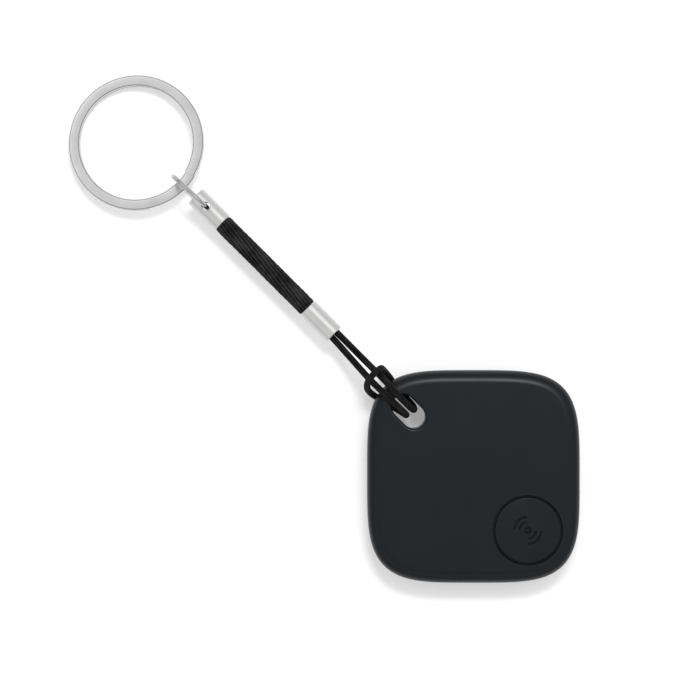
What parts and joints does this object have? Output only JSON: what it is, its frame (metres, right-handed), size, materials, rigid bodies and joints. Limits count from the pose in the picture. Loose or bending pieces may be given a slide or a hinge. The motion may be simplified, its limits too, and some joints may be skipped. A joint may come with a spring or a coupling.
{
  "type": "bluetooth tracker tag",
  "caption": "Squircle bluetooth tracker tag with a press button and a coin cell behind a twist door, on a corded lanyard with metal ferrules, a jump ring and a split key ring.",
  "frame": {"origin": "middle of the casing's rear face, on the surface the tag lies on", "axes": "+Z out of the casing's front face; the lanyard leaves the corner between -X and +Y, and the button is in the corner between +X and -Y"},
  "size_m": [0.094, 0.0934, 0.01],
  "materials": {
    "shell": "fine matte moulded plastic",
    "button": "fine matte moulded plastic",
    "silicone": "soft silicone",
    "seal": "soft rubber",
    "board": "green solder mask",
    "chip": "moulded epoxy",
    "ceramic": "pale ceramic",
    "steel": "nickel plated",
    "gold": "gold plated",
    "brass": "rolled brass",
    "foam": "open cell foam",
    "cord": "black braided polyester",
    "satin": "satin nickel plating",
    "ring_steel": "bright nickel plated spring steel"
  },
  "bodies": {
    "tag": {"front_shell": "shell", "rear_shell": "shell", "case_seal": "seal", "button_return_pad": "silicone", "circuit_board": "board", "bluetooth_chip": "chip", "crystal": "steel", "chip_antenna": "ceramic", "status_led": "ceramic", "voltage_regulator": "chip", "inductor": "chip", "capacitor_bank": "ceramic", "switch_body": "steel", "battery_can": "steel", "battery_insulator": "seal", "battery_negative_cap": "steel", "negative_contact": "gold", "positive_contact": "gold", "sounder_plate": "brass", "sounder_ceramic": "ceramic", "sounder_foam_ring": "foam", "lanyard_loop": "cord"},
    "button": {"button_cap": "button"},
    "switch_plunger": {"switch_plunger": "chip"},
    "battery_door": {"battery_door": "shell", "door_seal": "seal"},
    "strap_lower": {"lower_ferrule": "satin", "twisted_rope": "cord"},
    "strap_upper": {"upper_ferrule": "satin"},
    "jump_ring": {"jump_ring": "ring_steel"},
    "key_ring": {"key_ring": "ring_steel"}
  },
  "joints": [
    {"name": "button_press", "type": "slide", "parent": "tag", "child": "button", "axis": [0, 0, -1], "range_m": [0, 0.0003], "stiffness_N_per_m": 5000, "deforming": ["button_return_pad"]},
    {"name": "plunger_travel", "type": "slide", "parent": "tag", "child": "switch_plunger", "axis": [0, 0, -1], "range_m": [0, 0.0003]},
    {"name": "door_twist", "type": "hinge", "parent": "tag", "child": "battery_door", "pos_m": [0.00155, -0.00155, 0.0005], "axis": [0, 0, -1], "range_deg": [0, 30]},
    {"name": "lanyard_lift", "type": "hinge", "parent": "tag", "child": "strap_lower", "pos_m": [-0.02169, 0.02215, 0.0059], "axis": [0.7071, 0.7071, 0], "range_deg": [-90, 100], "deforming": ["lanyard_loop"]},
    {"name": "lanyard_bend", "type": "hinge", "parent": "strap_lower", "child": "strap_upper", "pos_m": [-0.03823, 0.0387, 0.00465], "axis": [0, 0, 1], "range_deg": [-60, 60], "deforming": ["twisted_rope"]},
    {"name": "jump_ring_swing", "type": "hinge", "parent": "strap_upper", "child": "jump_ring", "pos_m": [-0.049, 0.04947, 0.00465], "axis": [0, 0, 1], "range_deg": [-100, 100]},
    {"name": "key_ring_fold", "type": "hinge", "parent": "jump_ring", "child": "key_ring", "pos_m": [-0.05356, 0.05364, 0.0035], "axis": [0.6749, 0.7379, 0], "range_deg": [-110, 120]}
  ],
  "couplings": [
    {"joint": "plunger_travel", "follows": "button_press", "ratio": 1}
  ]
}
